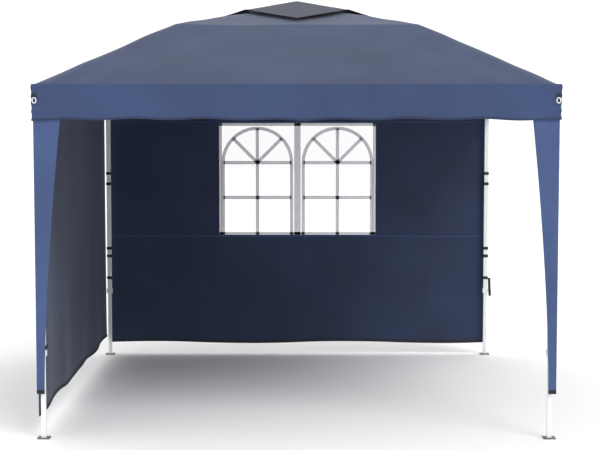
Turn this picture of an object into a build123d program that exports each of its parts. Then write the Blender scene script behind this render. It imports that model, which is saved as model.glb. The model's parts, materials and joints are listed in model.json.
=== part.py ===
from build123d import *
import os
from math import atan2, cos, hypot, sin, sqrt

# Pop up gazebo, 3 m square, standing open. Origin on the ground at the middle, +Z up, +Y to the back wall.

# Driving dimensions, millimetres
LEG_X = 1460          # leg axis to the middle plane
TUBE = 32             # outer leg tube, square
INNER = 27            # inner leg tube, square
TUBE_WALL = 1.2
OUTER_BOTTOM = 480
BRACKET_BOTTOM = 1985
BRACKET_TOP = 2025
FOOT = 72
FOOT_THICK = 4
INNER_TOP = 1150
PIVOT_Z = 2010        # upper truss pivots
PIVOT_OUT = 35        # leg axis to truss pivot, along the side
SPREAD = 160          # upper pivot to lower pivot, frame open
BAR_WIDE = 20
BAR_THICK = 12
BAR_WALL = 1.5
BAR_END = 7           # bar end past its pivot
LUG_THICK = 11
EAR_THICK = 5
LUG_GAP = 1.5         # plate of a lug to the plane where it meets its bar
LAYER = 7             # middle of a bar to the plane where two bars meet
PIN_R = 4
HOLE_R = 4.3
SLIDER = 44
SLIDER_TALL = 40
EAR_OUT = 60          # leg axis to rafter pivot, along the diagonal
EAR_Z = 2000
KNUCKLE = 1030        # gazebo middle to the rafter knuckle, along the diagonal
KNUCKLE_Z = 2400
HUB_OUT = 35
HUB_Z = 2564
STRUT_AT = 685        # rafter pivot to strut end, along the lower rafter
BUTTON_R = 5
BUTTON_TRAVEL = 3
FABRIC = 1
EAVE = 1500
EAVE_Z = 2040
BREAK = 750           # where the roof slope eases
BREAK_Z = 2425
PEAK_Z = 2600
VENT = 400            # half side of the roof vent
VALANCE_Z = 1830
CAP_OUT = 650         # middle to a corner of the vent cap
CAP_Z = 2620
WALL_TOP = 2030
BACK_Y = 1491
WINDOW_X = 605
WINDOW_LOW = 932
WINDOW_HIGH = 1797

UP = Vector(0, 0, 1)
PIVOT_LOW = PIVOT_Z - SPREAD
SIDE_RUN = LEG_X - PIVOT_OUT
BAR_LENGTH = hypot(SIDE_RUN, SPREAD)
CORNERS = {"fl": (-1, -1), "fr": (1, -1), "br": (1, 1), "bl": (-1, 1)}
SIDES = {"front": ("fl", "fr"), "right": ("fr", "br"), "left": ("fl", "bl"), "back": ("bl", "br")}

os.makedirs("parts", exist_ok=True)


def save(part, name):
    part.label = name
    export_step(part, f"parts/{name}.step")


def leg_at(corner):
    sx, sy = CORNERS[corner]
    return Vector(sx * LEG_X, sy * LEG_X, 0)


def layer_sign(corner):
    """Which way the roof bars of a corner are stacked beside each other."""
    return -1 if corner == "bl" else 1


def diagonal(corner):
    sx, sy = CORNERS[corner]
    return Vector(sx, sy, 0).normalized()


def bar(name, start, end, across, holes, pins, pin_way):
    """A hollow bar from pivot to pivot, with holes and riveted pins at distances from its start."""
    along = (end - start).normalized()
    length = (end - start).length
    with BuildPart() as piece:
        with BuildSketch(Plane(origin=start - along * BAR_END, x_dir=across, z_dir=along)):
            Rectangle(BAR_THICK, BAR_WIDE)
            Rectangle(BAR_THICK - 2 * BAR_WALL, BAR_WIDE - 2 * BAR_WALL, mode=Mode.SUBTRACT)
        extrude(amount=length + 2 * BAR_END)
        for at in holes:
            with BuildSketch(Plane(origin=start + along * at, x_dir=along, z_dir=across)):
                Circle(HOLE_R)
            extrude(amount=BAR_THICK, both=True, mode=Mode.SUBTRACT)
        for at in pins:
            foot = start + along * at - across * (pin_way * BAR_THICK / 2)
            with BuildSketch(Plane(origin=foot, x_dir=along, z_dir=across * pin_way)):
                Circle(PIN_R)
            extrude(amount=2 * LAYER + BAR_THICK + 1)
    save(piece.part, name)


def lug(reach_from, reach_to, z, middle, way, across, pin_way, thick=LUG_THICK):
    """Plate that stands beside a bar and carries its pivot pin. It is added to the part being built."""
    side = across * (-pin_way * (LUG_GAP + thick / 2))
    root = middle + side + way * reach_from + UP * z
    tip = middle + side + way * reach_to + UP * z
    with BuildSketch(Plane(origin=root, x_dir=across, z_dir=way)) as plate:
        Rectangle(thick, BAR_WIDE - 2)
    extrude(plate.sketch, amount=reach_to - reach_from + 8)
    with BuildSketch(Plane(origin=tip, x_dir=way, z_dir=across * pin_way)) as pin:
        Circle(PIN_R)
    extrude(pin.sketch, amount=2 * LAYER + BAR_THICK / 2 + 1)


def side_frame(side):
    first, last = SIDES[side]
    along = (leg_at(last) - leg_at(first)).normalized()
    return along, UP.cross(along)


def corner_lugs(corner, reach_from, z, upper):
    """Both truss lugs of a corner. Bars that start here and bars that end here lie in opposite layers."""
    for side, ends in SIDES.items():
        if corner not in ends:
            continue
        along, across = side_frame(side)
        starts = corner == ends[0]
        bar_layer = -1 if starts == upper else 1
        way = along if starts else along * -1
        lug(reach_from, PIVOT_OUT, z, leg_at(corner), way, across, bar_layer)


def square_tube(half_x, half_y, size, wall, low, high):
    with BuildSketch(Plane.XY.offset(low)) as ring:
        with Locations((half_x, half_y)):
            RectangleRounded(size, size, 3)
            RectangleRounded(size - 2 * wall, size - 2 * wall, 1.5, mode=Mode.SUBTRACT)
    extrude(ring.sketch, amount=high - low)


def button(name, x, y, out, z, tip, face):
    with BuildPart() as piece:
        with BuildSketch(Plane(origin=(x, y + out * tip, z), x_dir=(1, 0, 0), z_dir=(0, out, 0))):
            Circle(BUTTON_R)
        extrude(amount=face - tip)
        fillet(piece.edges().sort_by(Axis.Y)[-1 if out > 0 else 0], 1.2)
    save(piece.part, name)


def button_hole(x, y, out, z, reach):
    with BuildSketch(Plane(origin=(x, y + out * INNER / 2, z), x_dir=(1, 0, 0), z_dir=(0, out, 0))) as mouth:
        Circle(BUTTON_R + 0.3)
    extrude(mouth.sketch, amount=reach, mode=Mode.SUBTRACT)


# Legs, one set for each corner
COLLAR = 42
COLLAR_TALL = 36
SLIDER_HOLE = TUBE + 1
for corner, (sx, sy) in CORNERS.items():
    x, y = sx * LEG_X, sy * LEG_X
    inward = diagonal(corner) * -1
    side = UP.cross(diagonal(corner))
    stack = layer_sign(corner)

    # Outer tube with its bottom collar, its height holes and the button hole
    with BuildPart() as leg_outer:
        square_tube(x, y, TUBE, TUBE_WALL, OUTER_BOTTOM, BRACKET_BOTTOM)
        collar_wall = (COLLAR - TUBE) / 2 + TUBE_WALL
        square_tube(x, y, COLLAR, collar_wall, OUTER_BOTTOM, OUTER_BOTTOM + COLLAR_TALL)
        for height in (890, 975, 1060):
            with BuildSketch(Plane(origin=(x, y, height), x_dir=(1, 0, 0), z_dir=(0, -1, 0))):
                Circle(5)
            extrude(amount=TUBE, both=True, mode=Mode.SUBTRACT)
        button_hole(x, y, sy, OUTER_BOTTOM + COLLAR_TALL / 2, COLLAR)
    save(leg_outer.part, f"leg_outer_{corner}")

    # Inner tube with its foot plate and two peg holes
    with BuildPart() as leg_inner:
        square_tube(x, y, INNER, TUBE_WALL, FOOT_THICK, INNER_TOP)
        with BuildSketch(Plane.XY):
            with Locations((x, y)):
                RectangleRounded(FOOT, FOOT, 6)
                with Locations((26, 26), (-26, -26)):
                    Circle(5, mode=Mode.SUBTRACT)
        extrude(amount=FOOT_THICK)
    save(leg_inner.part, f"leg_inner_{corner}")

    # Corner bracket: block on the tube, two truss lugs and the rafter ear
    with BuildPart() as bracket:
        with BuildSketch(Plane.XY.offset(BRACKET_BOTTOM)):
            with Locations((x, y)):
                RectangleRounded(TUBE + 6, TUBE + 6, 4)
        extrude(amount=BRACKET_TOP - BRACKET_BOTTOM)
        corner_lugs(corner, 10, PIVOT_Z, True)
        lug(16, EAR_OUT, EAR_Z, leg_at(corner), inward, side, -stack, EAR_THICK)
    save(bracket.part, f"corner_bracket_{corner}")

    # Slider: block round the tube, two truss lugs and the strut ear
    with BuildPart() as slider:
        with BuildSketch(Plane.XY.offset(PIVOT_LOW - SLIDER_TALL / 2)):
            with Locations((x, y)):
                RectangleRounded(SLIDER, SLIDER, 4)
        extrude(amount=SLIDER_TALL)
        corner_lugs(corner, 18, PIVOT_LOW, False)
        lug(24, EAR_OUT, PIVOT_LOW, leg_at(corner), inward, side, stack, EAR_THICK)
        with BuildSketch(Plane.XY.offset(PIVOT_LOW - SLIDER_TALL / 2)):
            with Locations((x, y)):
                Rectangle(SLIDER_HOLE, SLIDER_HOLE)
        extrude(amount=SLIDER_TALL, mode=Mode.SUBTRACT)
        button_hole(x, y, sy, PIVOT_LOW, SLIDER)
    save(slider.part, f"slider_{corner}")

    tube_face = TUBE / 2
    tip = tube_face + 0.3 + BUTTON_TRAVEL
    button(f"slider_button_{corner}", x, y, sy, PIVOT_LOW, tip, SLIDER / 2 + BUTTON_TRAVEL)
    tip = INNER / 2 + 0.3 + BUTTON_TRAVEL
    collar_z = OUTER_BOTTOM + COLLAR_TALL / 2
    button(f"height_button_{corner}", x, y, sy, collar_z, tip, COLLAR / 2 + BUTTON_TRAVEL)

# Perimeter truss: two scissors on each side, four bars each
for name, (first, last) in SIDES.items():
    along, across = side_frame(name)
    start, end = leg_at(first) + along * PIVOT_OUT, leg_at(last) - along * PIVOT_OUT
    middle = (start + end) * 0.5
    back, ahead = across * -LAYER, across * LAYER
    top, low = UP * PIVOT_Z, UP * PIVOT_LOW
    half = BAR_LENGTH / 2
    bar(f"truss_{name}_upper_1", start + top + back, middle + low + back, across, [0], [half, BAR_LENGTH], 1)
    bar(f"truss_{name}_lower_1", start + low + ahead, middle + top + ahead, across, [0, half], [BAR_LENGTH], -1)
    bar(f"truss_{name}_upper_2", end + top + ahead, middle + low + ahead, across, [0, BAR_LENGTH], [half], -1)
    bar(f"truss_{name}_lower_2", end + low + back, middle + top + back, across, [0, half, BAR_LENGTH], [], 1)

# Roof frame: rafters in two pieces, a strut to each, and the hub
ear_at = LEG_X * sqrt(2) - EAR_OUT
rafter_angle = atan2(KNUCKLE_Z - EAR_Z, ear_at - KNUCKLE)
for corner in CORNERS:
    out = diagonal(corner)
    side = UP.cross(out)
    stack = layer_sign(corner)
    ear = out * ear_at + UP * EAR_Z
    knuckle = out * KNUCKLE + UP * KNUCKLE_Z
    tip = out * HUB_OUT + UP * HUB_Z
    near, far = side * (-stack * LAYER), side * (stack * LAYER)
    pins = [(knuckle - ear).length] if corner == "fl" else []
    bar(f"lower_rafter_{corner}", ear + near, knuckle + near, side, [0], pins, stack)
    bar(f"upper_rafter_{corner}", tip + far, knuckle + far, side, [0, (knuckle - tip).length], [], stack)
    strut_end = ear - out * (STRUT_AT * cos(rafter_angle)) + UP * (STRUT_AT * sin(rafter_angle))
    foot = out * ear_at + UP * PIVOT_LOW
    bar(f"roof_strut_{corner}", foot + far, strut_end + far, side, [0], [], stack)

with BuildPart() as roof_hub:
    with BuildSketch(Plane.XY.offset(HUB_Z - 14)):
        Rectangle(24, 24, rotation=45)
    extrude(amount=27)
    with BuildSketch(Plane.XY.offset(HUB_Z + 13)):
        Circle(42)
    extrude(amount=5)
    fillet(roof_hub.faces().sort_by(Axis.Z)[-1].edges(), 2)
    for corner in CORNERS:
        out = diagonal(corner)
        lug(8, HUB_OUT, HUB_Z, Vector(0, 0, 0), out, UP.cross(out), layer_sign(corner))
save(roof_hub.part, "roof_hub")


def panel(points, thickness=FABRIC):
    """Flat convex fabric panel with its outer face on the points, given anticlockwise from outside."""
    corners = [Vector(*p) for p in points]
    normal = (corners[1] - corners[0]).cross(corners[2] - corners[0]).normalized()
    face = Face(Wire.make_polygon(corners, close=True))
    add(Solid.extrude(face, normal * -thickness))


# Canopy: sloping roof in two pitches round a square vent, and a valance
vent_z = PEAK_Z - (PEAK_Z - BREAK_Z) * VENT / BREAK
with BuildPart() as canopy:
    for rise_from, rise_to in (
        ((EAVE, EAVE_Z), (BREAK, BREAK_Z)),
        ((BREAK, BREAK_Z), (VENT, vent_z)),
        ((EAVE, VALANCE_Z), (EAVE, EAVE_Z)),
    ):
        (a, za), (b, zb) = rise_from, rise_to
        for quarter in range(4):
            turned = []
            for px, py, pz in ((-a, -a, za), (a, -a, za), (b, -b, zb), (-b, -b, zb)):
                for _ in range(quarter):
                    px, py = -py, px
                turned.append((px, py, pz))
            panel(turned)
save(canopy.part, "canopy")

# Vent cap: a raised square flap, its corners towards the middle of the sides
with BuildPart() as vent_cap:
    cap_rim_z = vent_z + 24
    for quarter in range(4):
        ax, ay = 0, -CAP_OUT
        bx, by = CAP_OUT, 0
        for _ in range(quarter):
            ax, ay, bx, by = -ay, ax, -by, bx
        panel([(ax, ay, cap_rim_z), (bx, by, cap_rim_z), (0, 0, CAP_Z)])
save(vent_cap.part, "vent_cap")

# Back wall, with the window opening, and the clear window in it
WALL_X = 1462
WALL_LOW = 80
with BuildPart() as back_wall:
    for x0, x1, z0, z1 in (
        (-WALL_X, -WINDOW_X, WALL_LOW, WALL_TOP),
        (WINDOW_X, WALL_X, WALL_LOW, WALL_TOP),
        (-WINDOW_X, WINDOW_X, WALL_LOW, WINDOW_LOW),
        (-WINDOW_X, WINDOW_X, WINDOW_HIGH, WALL_TOP),
    ):
        with Locations(((x0 + x1) / 2, BACK_Y, (z0 + z1) / 2)):
            Box(x1 - x0, FABRIC, z1 - z0)
save(back_wall.part, "back_wall")

with BuildPart() as window:
    with Locations((0, BACK_Y, (WINDOW_LOW + WINDOW_HIGH) / 2)):
        Box(2 * WINDOW_X, FABRIC, WINDOW_HIGH - WINDOW_LOW)
save(window.part, "window")

# Left side wall
SIDE_FRONT = -1450
SIDE_LOW = 120
with BuildPart() as side_wall_left:
    with Locations((-BACK_Y, (SIDE_FRONT + WALL_X) / 2, (SIDE_LOW + WALL_TOP) / 2)):
        Box(FABRIC, WALL_X - SIDE_FRONT, WALL_TOP - SIDE_LOW)
save(side_wall_left.part, "side_wall_left")

# Leg covers on the front legs: a tapering face and a narrow return
COVER_Y = 1494
COVER_TOP = 2020
COVER_LOW = 255
for name, sign in (("left", -1), ("right", 1)):
    with BuildPart() as leg_cover:
        with BuildSketch(Plane(origin=(0, -COVER_Y, 0), x_dir=(1, 0, 0), z_dir=(0, -1, 0))):
            with BuildLine():
                Polyline(
                    (sign * COVER_Y, COVER_TOP),
                    (sign * (COVER_Y - 170), COVER_TOP),
                    (sign * (COVER_Y - 45), COVER_LOW),
                    (sign * COVER_Y, COVER_LOW),
                    close=True,
                )
            make_face()
        extrude(amount=FABRIC, both=False)
        with Locations((sign * (COVER_Y - FABRIC / 2), -COVER_Y + 20, (COVER_TOP + COVER_LOW) / 2)):
            Box(FABRIC, 40, COVER_TOP - COVER_LOW)
    save(leg_cover.part, f"leg_cover_front_{name}")
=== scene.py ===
import json
from math import cos, pi, radians, sin, sqrt

import bpy
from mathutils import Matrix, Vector, noise

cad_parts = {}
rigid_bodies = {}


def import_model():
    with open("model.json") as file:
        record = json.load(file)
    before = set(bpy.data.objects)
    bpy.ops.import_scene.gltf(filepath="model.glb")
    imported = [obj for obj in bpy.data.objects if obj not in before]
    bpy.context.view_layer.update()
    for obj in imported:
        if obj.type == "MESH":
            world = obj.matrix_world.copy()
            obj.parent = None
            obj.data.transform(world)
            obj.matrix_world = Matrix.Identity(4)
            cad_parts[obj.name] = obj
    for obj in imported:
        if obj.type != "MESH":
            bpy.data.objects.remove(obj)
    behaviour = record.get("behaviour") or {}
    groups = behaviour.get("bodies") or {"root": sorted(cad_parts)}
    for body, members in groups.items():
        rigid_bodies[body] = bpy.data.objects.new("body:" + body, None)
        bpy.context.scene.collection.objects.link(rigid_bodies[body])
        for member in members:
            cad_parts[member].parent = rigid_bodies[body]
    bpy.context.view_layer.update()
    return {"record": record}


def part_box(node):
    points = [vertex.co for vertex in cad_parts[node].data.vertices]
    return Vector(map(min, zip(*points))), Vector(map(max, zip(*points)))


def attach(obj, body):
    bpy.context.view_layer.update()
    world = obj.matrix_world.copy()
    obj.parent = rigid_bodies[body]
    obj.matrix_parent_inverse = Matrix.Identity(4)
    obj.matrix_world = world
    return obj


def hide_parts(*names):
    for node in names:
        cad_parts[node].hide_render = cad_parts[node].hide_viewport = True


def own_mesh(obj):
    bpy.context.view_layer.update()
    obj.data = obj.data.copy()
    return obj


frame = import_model()

# Driving sizes, in metres
LEG = 1.460                      # leg axis to the middle plane
EAVE, EAVE_Z = 1.4985, 2.038
BREAK, BREAK_Z = 0.75, 2.425     # where the roof slope eases
PEAK_Z = 2.598
VENT = 0.30                      # half side of the roof's middle opening
CORNERS = {"fl": (-1, -1), "fr": (1, -1), "br": (1, 1), "bl": (-1, 1)}
ALONG_X, ALONG_Y, FRONT = (1, 0, 0), (0, 1, 0), (0, -1, 0)


# Materials

def material(name, color, roughness, variation=0.0, grain=0.0, grain_scale=400.0, sheen=0.0, metallic=0.0):
    """Principled material with cloudy colour variation and a fine bump."""
    mat = bpy.data.materials.new(name)
    mat.use_nodes = True
    nodes, links = mat.node_tree.nodes, mat.node_tree.links
    shader = nodes["Principled BSDF"]
    shader.inputs["Roughness"].default_value = roughness
    shader.inputs["Metallic"].default_value = metallic
    shader.inputs["Sheen Weight"].default_value = sheen
    place = nodes.new("ShaderNodeTexCoord")
    cloud = nodes.new("ShaderNodeTexNoise")
    cloud.inputs["Scale"].default_value = 2.2
    cloud.inputs["Detail"].default_value = 6
    ramp = nodes.new("ShaderNodeValToRGB")
    dark = [c * (1 - variation) for c in color]
    light = [min(1.0, c * (1 + variation)) for c in color]
    ramp.color_ramp.elements[0].position = 0.3
    ramp.color_ramp.elements[0].color = (*dark, 1)
    ramp.color_ramp.elements[1].position = 0.7
    ramp.color_ramp.elements[1].color = (*light, 1)
    links.new(place.outputs["Object"], cloud.inputs["Vector"])
    links.new(cloud.outputs["Fac"], ramp.inputs["Fac"])
    links.new(ramp.outputs["Color"], shader.inputs["Base Color"])
    if grain:
        fine = nodes.new("ShaderNodeTexNoise")
        fine.inputs["Scale"].default_value = grain_scale
        bump = nodes.new("ShaderNodeBump")
        bump.inputs["Strength"].default_value = grain
        bump.inputs["Distance"].default_value = 0.001
        links.new(place.outputs["Object"], fine.inputs["Vector"])
        links.new(fine.outputs["Fac"], bump.inputs["Height"])
        links.new(bump.outputs["Normal"], shader.inputs["Normal"])
    return mat


ROOF = material("roof_cloth", (0.016, 0.033, 0.088), 0.8, 0.14, 0.25, 600, 0.15)
VALANCE = material("valance_cloth", (0.026, 0.048, 0.128), 0.8, 0.12, 0.25, 600, 0.15)
CAP = material("cap_cloth", (0.009, 0.016, 0.042), 0.8, 0.12, 0.25, 600, 0.1)
WALL = material("wall_cloth", (0.014, 0.026, 0.07), 0.8, 0.2, 0.25, 600, 0.1)
COVER = material("cover_cloth", (0.04, 0.072, 0.18), 0.8, 0.12, 0.25, 600, 0.15)
TRIM = material("black_webbing", (0.008, 0.009, 0.012), 0.7, 0.1, 0.5, 900)
STEEL = material("white_steel", (0.8, 0.81, 0.83), 0.32, 0.03, 0.05, 250)
PLASTIC = material("black_nylon", (0.02, 0.02, 0.022), 0.5, 0.08, 0.2, 500)
# Painted shade: dark grey for the white-painted foot plates, where shade falls on them.
FOOT_PLATE_SHADE = material("foot_plate_painted_shade", (0.09, 0.09, 0.095), 0.45, 0.08, 0.2, 400)
BUTTON = material("zinc_button", (0.45, 0.46, 0.48), 0.35, 0.05, 0.1, 400, 0, 1.0)
RING = material("white_ring", (0.78, 0.8, 0.84), 0.35, 0.03, 0.05, 300)
PRINT = material("window_print", (0.93, 0.94, 0.96), 0.5, 0.04, 0.05, 300)
FILM = material("window_film", (0.9, 0.93, 0.96), 0.12, 0.02, 0.1, 8)
FILM.node_tree.nodes["Principled BSDF"].inputs["Alpha"].default_value = 0.25

SLOT_MATERIALS = {
    "leg_paint": STEEL,
    "truss_metal": STEEL,
    "joint_plastic": PLASTIC,
    "button_metal": BUTTON,
}
# Faces of the inner legs below this height, the foot plates, take the painted shade.
FOOT_PLATE_TOP = 0.0045


def finish_frame_parts():
    """Gives the CAD parts that stay in view their materials, and paints shade on the inner legs' foot
    plates as dark grey.
    """
    for part in frame["record"]["subparts"]:
        if part["material_slot"] not in SLOT_MATERIALS:
            continue
        mesh = bpy.data.objects[part["node"]].data
        mesh.materials.clear()
        mesh.materials.append(SLOT_MATERIALS[part["material_slot"]])
        # Painted shade: the foot plate faces at the bottom of each inner leg turn dark grey.
        if part["node"].startswith("leg_inner"):
            mesh.materials.append(FOOT_PLATE_SHADE)
            for face in mesh.polygons:
                if face.center.z < FOOT_PLATE_TOP:
                    face.material_index = 1


finish_frame_parts()


# Mesh helpers

def span(low, high, count):
    """count + 1 evenly spaced values from low to high."""
    return [low + (high - low) * i / count for i in range(count + 1)]


def smooth_noise(x, y, z, scale):
    return noise.noise(Vector((x, y, z)) * scale)


def add_mesh(name, verts, faces, mat):
    mesh = bpy.data.meshes.new(name)
    mesh.from_pydata(verts, [], faces)
    mesh.materials.append(mat)
    piece = bpy.data.objects.new(name, mesh)
    bpy.context.scene.collection.objects.link(piece)
    return piece


def grid(name, us, vs, place, mat, skip=None):
    """A sheet over a grid of two parameters. skip(u, v) leaves a cell open."""
    points = [place(u, v) for v in vs for u in us]
    wide = len(us)
    faces = []
    for row in range(len(vs) - 1):
        for col in range(wide - 1):
            middle = ((us[col] + us[col + 1]) / 2, (vs[row] + vs[row + 1]) / 2)
            if skip and skip(*middle):
                continue
            at = row * wide + col
            faces.append((at, at + 1, at + wide + 1, at + wide))
    used = sorted({i for f in faces for i in f})
    renumber = {old: new for new, old in enumerate(used)}
    piece = add_mesh(name, [points[i] for i in used], [tuple(renumber[i] for i in f) for f in faces], mat)
    for face in piece.data.polygons:
        face.use_smooth = True
    return piece


def ribbon(name, points, out, width, thick, mat):
    """A flat strap along points, standing off the surface whose outward direction is out."""
    out = Vector(out).normalized()
    verts, faces = [], []
    for i, p in enumerate(points):
        ahead = Vector(points[min(i + 1, len(points) - 1)]) - Vector(points[max(i - 1, 0)])
        across = ahead.normalized().cross(out).normalized() * (width / 2)
        p = Vector(p)
        verts += [p - across, p + across, p + across + out * thick, p - across + out * thick]
    for i in range(len(points) - 1):
        a, b = 4 * i, 4 * (i + 1)
        faces += [(a + k, a + (k + 1) % 4, b + (k + 1) % 4, b + k) for k in range(4)]
    last = 4 * (len(points) - 1)
    faces += [(3, 2, 1, 0), (last, last + 1, last + 2, last + 3)]
    return add_mesh(name, verts, faces, mat)


def gather(piece, body):
    """Makes a soft piece ride a body, on a mesh of its own."""
    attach(piece, body)
    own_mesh(piece)


def fasten(piece, body):
    """Makes a piece ride a body without changing shape."""
    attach(piece, body)


# Roof, in quarters centred on the hips so that each follows its rafter

SLACK = 0.022           # sag of a slope between its hip and its middle
PUCKER = 0.007          # depth of the creases that run out of an eave corner
PUCKER_FROM = 1.1
RIPPLE = 0.006
CAP_REACH = 0.648       # middle to a corner of the vent cap
CAP_LIFT, CAP_DROP = 0.020, 0.006


def roof_height(r):
    """Height of the flat slopes, r being the larger of |x| and |y|."""
    if r > BREAK:
        return BREAK_Z + (EAVE_Z - BREAK_Z) * (r - BREAK) / (EAVE - BREAK)
    return PEAK_Z + (BREAK_Z - PEAK_Z) * r / BREAK


def roof_point(sx, sy, r, s):
    """s runs from the middle of one side (-1), over the hip (0), to the middle of the next (1)."""
    x, y = (r * (1 + s), r) if s < 0 else (r, r * (1 - s))
    z = roof_height(r)
    z -= SLACK * abs(s) * (1 - abs(s)) * min(1.0, r)
    corner = max(0.0, r - PUCKER_FROM) / 0.4
    z -= PUCKER * corner * (0.5 + 0.5 * sin(38 * s)) * (1 - abs(s))
    z += RIPPLE * smooth_noise(sx * x, sy * y, 0, 5.0) * (1 - 0.5 * abs(s)) - RIPPLE
    return (sx * x, sy * y, z)


def quarter(corner, low, high, name, body, rows):
    sx, sy = CORNERS[corner]
    piece = grid(f"{name}_{corner}", span(-1, 1, 48), span(low, high, rows),
                 lambda s, r: roof_point(sx, sy, r, s), ROOF)
    gather(piece, f"{body}_{corner}")
    return piece


def cap_point(sx, sy, t, s):
    """t runs from the peak (0) to the rim (1), s along the rim of the quarter."""
    reach = CAP_REACH * t
    x, y = reach * (1 + s) / 2, reach * (1 - s) / 2
    lift = CAP_LIFT - CAP_DROP * t
    z = roof_height(max(x, y)) + lift + 0.003 * t * smooth_noise(sx * x, sy * y, 3, 6.0)
    return (sx * x, sy * y, z)


def cap_quarter(corner):
    sx, sy = CORNERS[corner]
    cap = grid(f"cap_{corner}", span(-1, 1, 20), span(0.02, 1, 16),
               lambda s, t: cap_point(sx, sy, t, s), CAP)
    rim = [cap_point(sx, sy, 1, s) for s in span(-1, 1, 20)]
    edge = ribbon(f"cap_edge_{corner}", rim, (0, 0, 1), 0.02, 0.002, TRIM)
    for piece in (cap, edge):
        gather(piece, f"upper_rafter_{corner}")
    return cap


for corner in CORNERS:
    quarter(corner, BREAK, EAVE, "roof_lower", "lower_rafter", 26)
    quarter(corner, VENT, BREAK, "roof_upper", "upper_rafter", 16)
    cap_quarter(corner)
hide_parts("canopy")
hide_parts("vent_cap")


# Valance, in half sides so that each follows its leg

VALANCE_LOW = 1.832
VALANCE_OUT = EAVE + 0.004


def valance_point(sx, sy, along_x, t, v):
    """t runs from the corner (0) to the middle (1), v from the bottom (0) to the eave (1)."""
    along = EAVE * (1 - t)
    low = VALANCE_LOW + (0.006 * sin(pi * t) + 0.004 * sin(23 * t + sx))
    z = low + (EAVE_Z - low) * v
    wave = 0.005 * (1 - v) * sin(26 * t + 2 * sy) + 0.002 * smooth_noise(along * sx, z, sy, 9.0)
    pull = 0.003 * max(0.0, 1 - 3 * t) * sin(30 * (v - 0.6 * t))
    out = VALANCE_OUT + wave + pull
    return (sx * along, sy * out, z) if along_x else (sx * out, sy * along, z)


def valance_half(corner, along_x):
    sx, sy = CORNERS[corner]
    name = f"valance_{corner}_{'x' if along_x else 'y'}"
    piece = grid(name, span(0, 1, 70), span(0, 1, 12),
                 lambda t, v: valance_point(sx, sy, along_x, t, v), VALANCE)
    facing = (0, sy, 0) if along_x else (sx, 0, 0)
    route = [valance_point(sx, sy, along_x, t, 0.03) for t in span(0, 1, 70)]
    hem = ribbon(f"{name}_hem", route, facing, 0.012, 0.0015, WALL)
    for part in (piece, hem):
        gather(part, f"leg_{corner}")


for corner in CORNERS:
    for along_x in (True, False):
        valance_half(corner, along_x)


# Walls

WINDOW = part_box("window")
WX, WZ0, WZ1 = WINDOW[1][0], WINDOW[0][2], WINDOW[1][2]
BACK = 1.491            # middle plane to the walls
WALL_END = 1.462
WALL_TOP = 2.03
BACK_LOW = 0.09
SIDE_FRONT, SIDE_LOW = -1.45, 0.13
SEAM_OFF = 0.012        # seam to the window's edge


def back_point(x, z):
    """The back wall hangs flat round the window and waves more towards its bottom."""
    if abs(x) <= WX + 0.01 and WZ0 - 0.01 <= z <= WZ1 + 0.01:
        return (x, BACK, z)
    hang = 1 - (z - 0.08) / 1.95
    y = BACK + 0.0005 + 0.007 * hang * smooth_noise(x, 0, z * 0.3, 3.5)
    return (x, y, z + 0.008 * sin(4.2 * x) * hang * max(0.0, hang))


def side_point(y, z):
    hang = 1 - (z - 0.12) / 1.91
    wave = 0.008 * hang * sin(9 * y) * 0.6 + 0.005 * hang * smooth_noise(y, 1, z * 0.3, 4.0)
    return (-BACK + 0.002 + wave, y, z + 0.01 * hang * sin(6 * y))


def gather_on_back_left(piece):
    gather(piece, "leg_bl")


wall_xs = span(-WALL_END, -WX, 28) + span(-WX, WX, 40)[1:] + span(WX, WALL_END, 28)[1:]
wall_zs = span(BACK_LOW, WZ0, 26) + span(WZ0, WZ1, 20)[1:] + span(WZ1, WALL_TOP, 8)[1:]
back_wall = grid("back_wall_cloth", wall_xs, wall_zs, back_point, WALL,
                 skip=lambda x, z: abs(x) < WX and WZ0 < z < WZ1)
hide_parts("back_wall")
side_wall = grid("side_wall_cloth", span(SIDE_FRONT, WALL_END, 80), span(SIDE_LOW, WALL_TOP, 36),
                 side_point, WALL)
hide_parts("side_wall_left")
gather_on_back_left(back_wall)
gather_on_back_left(side_wall)

# Hems along the bottom edges, and seams level with the window's bottom and top
inside_back, inside_side = Vector((0, -0.002, 0)), Vector((0.002, 0, 0))
hem_route = [Vector(back_point(x, 0.098)) + inside_back for x in span(-WALL_END, WALL_END, 70)]
back_hem = ribbon("back_wall_hem", hem_route, FRONT, 0.02, 0.0012, TRIM)
hem_route = [Vector(side_point(y, 0.14)) + inside_side for y in span(SIDE_FRONT, WALL_END, 60)]
side_hem = ribbon("side_wall_hem", hem_route, ALONG_X, 0.02, 0.0012, TRIM)
gather_on_back_left(back_hem)
for level, z in (("low", WZ0 - SEAM_OFF), ("high", WZ1 + SEAM_OFF)):
    seam_route = [Vector(back_point(x, z)) + inside_back for x in wall_xs]
    seam = ribbon(f"back_wall_seam_{level}", seam_route, FRONT, 0.012, 0.001, VALANCE)
    gather_on_back_left(seam)
gather_on_back_left(side_hem)


# Window: clear film with a printed pair of arched lights

film = grid("window_clear", span(-WX, WX, 24), span(WZ0, WZ1, 16),
            lambda x, z: (x, BACK - 0.001 + 0.002 * smooth_noise(x, 0, z, 4.0), z), FILM)
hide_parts("window")
gather_on_back_left(film)
BAR = 0.026             # width of a printed glazing bar
BORDER = 0.022
POST = 0.05
ARCH_R = 0.265
ARCH_X = 0.31
SPRING_Z = WZ1 - 0.04 - ARCH_R
PANE_TALL = 0.27


def printed(name, points, width=BAR):
    """A printed bar along points given as x and z, just in front of the film."""
    placed = [(x, BACK - 0.005, z) for x, z in points]
    piece = ribbon(name, placed, FRONT, width, 0.0008, PRINT)
    gather_on_back_left(piece)


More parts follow.
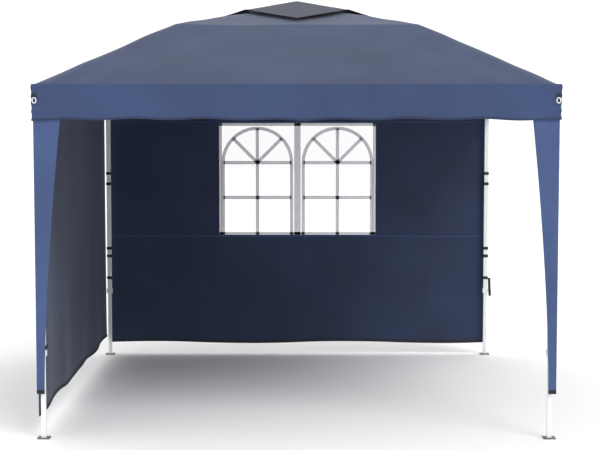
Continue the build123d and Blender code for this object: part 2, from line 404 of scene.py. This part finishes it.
printed("print_top", [(-WX, WZ1 - 0.01), (WX, WZ1 - 0.01)], BORDER)
printed("print_bottom", [(-WX, WZ0 + 0.01), (WX, WZ0 + 0.01)], BORDER)
for sign, word in ((-1, "left"), (1, "right")):
    edge = sign * (WX - 0.01)
    printed(f"print_edge_{word}", [(edge, WZ0), (edge, WZ1)], BORDER)
    cx = sign * ARCH_X
    arch = [(cx + ARCH_R * cos(a), SPRING_Z + ARCH_R * sin(a)) for a in span(pi, 0, 40)]
    printed(f"print_arch_{word}", arch)
    for eighth in (1, 3):
        turn = eighth * pi / 4
        tip = (cx + ARCH_R * cos(turn), SPRING_Z + ARCH_R * sin(turn))
        printed(f"print_ray_{word}_{eighth}", [(cx, SPRING_Z), tip])
    printed(f"print_muntin_{word}", [(cx, WZ0), (cx, SPRING_Z + ARCH_R)])
    for step, z in enumerate((SPRING_Z, SPRING_Z - PANE_TALL)):
        printed(f"print_cross_{word}_{step}", [(cx - ARCH_R, z), (cx + ARCH_R, z)])
    for side in (-1, 1):
        x = cx + side * ARCH_R
        place = "outer" if side == sign else "inner"
        printed(f"print_post_{word}_{place}", [(x, WZ0), (x, SPRING_Z)])
printed("print_middle_post", [(0, WZ0), (0, WZ1)], POST)


# Leg covers on the front legs

COVER_TOP, COVER_LOW = 1.99, 0.262
COVER_TALL = COVER_TOP - COVER_LOW
COVER_NARROW = 0.045    # width at the bottom
COVER_SPREAD = 0.125    # how much wider the top is
COVER_CURVE = 1.6       # the inner edge bows by this power of the height
COVER_X, COVER_Y = 1.4925, -1.4935
RETURN_DEEP = 0.04


def cover_point(sign, s, t):
    """s runs across from the outer edge, t from the bottom up."""
    wide = COVER_NARROW + COVER_SPREAD * t ** COVER_CURVE
    wave = 0.005 * sin(pi * s) * (0.3 + 0.7 * t) * sin(7 * t + 5 * s)
    return (sign * (COVER_X - wide * s), COVER_Y + wave, COVER_LOW + COVER_TALL * t)


def leg_cover(sign, word, corner):
    cover = grid(f"leg_cover_{word}", span(0, 1, 12), span(0, 1, 60),
                 lambda s, t: cover_point(sign, s, t), COVER)
    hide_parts(f"leg_cover_front_{word}")
    back = grid(f"leg_cover_{word}_return", span(0, 1, 4), span(0, 1, 40),
                lambda s, t: (sign * COVER_X, COVER_Y + RETURN_DEEP * s, COVER_LOW + COVER_TALL * t), COVER)
    hem_route = [cover_point(sign, s, 0.008) for s in span(0, 1, 6)]
    hem = ribbon(f"leg_cover_{word}_hem", hem_route, FRONT, 0.02, 0.0015, TRIM)
    for piece in (cover, back, hem):
        fasten(piece, f"leg_{corner}")


leg_cover(-1, "left", "fl")
leg_cover(1, "right", "fr")


# Webbing straps round the legs, and the loose tail of one

ON_TUBE, ON_COLLAR = 0.0172, 0.024      # half widths inside a strap
STRAP_HALF = 0.011
STRAP_GROW = 1.08


def strap(name, corner, z, half=ON_TUBE):
    """A square band round a leg."""
    cx, cy = CORNERS[corner][0] * LEG, CORNERS[corner][1] * LEG
    verts, faces = [], []
    for px, py in ((half, -half), (half, half), (-half, half), (-half, -half)):
        for grow in (1.0, STRAP_GROW):
            for dz in (-STRAP_HALF, STRAP_HALF):
                verts.append((cx + px * grow, cy + py * grow, z + dz))
    for i in range(4):
        a, b = 4 * i, 4 * ((i + 1) % 4)
        faces += [(a, b, b + 1, a + 1), (a + 2, a + 3, b + 3, b + 2)]
        faces += [(a + 1, b + 1, b + 3, a + 3), (a, a + 2, b + 2, b)]
    fasten(add_mesh(name, verts, faces, TRIM), f"leg_{corner}")


for corner in ("bl", "br"):
    for count, z in enumerate((1.41, 1.33, 0.83, 0.77, 0.60)):
        strap(f"strap_{corner}_{count}", corner, z)
strap("strap_fl_0", "fl", 0.53, half=ON_COLLAR)
tail_route = [(1.488, 1.44, 0.60), (1.49, 1.437, 0.53), (1.494, 1.435, 0.46)]
fasten(ribbon("strap_tail_br", tail_route, FRONT, 0.02, 0.0015, TRIM), "leg_br")

# Rings on tabs at the ends of the front valance
RING_X, RING_Z = 1.482, 1.945
for sign, corner in ((-1, "fl"), (1, "fr")):
    x = sign * RING_X
    loop = [(x + 0.011 * cos(a), -1.507, RING_Z + 0.015 * sin(a)) for a in span(0, 2 * pi, 20)]
    ring = ribbon(f"valance_ring_{corner}", loop, FRONT, 0.005, 0.003, RING)
    tab_route = [(x, -1.506, RING_Z + 0.04), (x, -1.506, RING_Z + 0.01)]
    tab = ribbon(f"valance_tab_{corner}", tab_route, FRONT, 0.02, 0.0015, TRIM)
    for piece in (ring, tab):
        fasten(piece, f"leg_{corner}")


# Studio: floor, light and the camera

FLOOR, FLOOR_Z = 40, -0.001
floor_corners = [(x * FLOOR, y * FLOOR, FLOOR_Z) for x, y in ((-1, -1), (1, -1), (1, 1), (-1, 1))]
STUDIO = material("studio_floor", (0.9, 0.9, 0.9), 0.9)
add_mesh("floor", floor_corners, [(0, 1, 2, 3)], STUDIO)

world = bpy.data.worlds.new("studio")
world.use_nodes = True
backdrop = world.node_tree.nodes["Background"]
backdrop.inputs["Color"].default_value = (1, 1, 1, 1)
backdrop.inputs["Strength"].default_value = 1.15
bpy.context.scene.world = world
bpy.context.scene.view_settings.view_transform = "Standard"
sun = bpy.data.lights.new("key", "SUN")
sun.energy = 1.1
sun.angle = 0.5
key = bpy.data.objects.new("key", sun)
key.rotation_euler = (0.75, 0.1, 0.5)
bpy.context.scene.collection.objects.link(key)

lens = bpy.data.cameras.new("view")
lens.sensor_width = 36
lens.lens = 86.28
TILT_DOWN = radians(4.4258)      # below level
camera = bpy.data.objects.new("view", lens)
camera.location = (0.02, -9.66, 1.87)
camera.rotation_euler = (pi / 2 - TILT_DOWN, 0, 0)
bpy.context.scene.collection.objects.link(camera)
bpy.context.scene.camera = camera
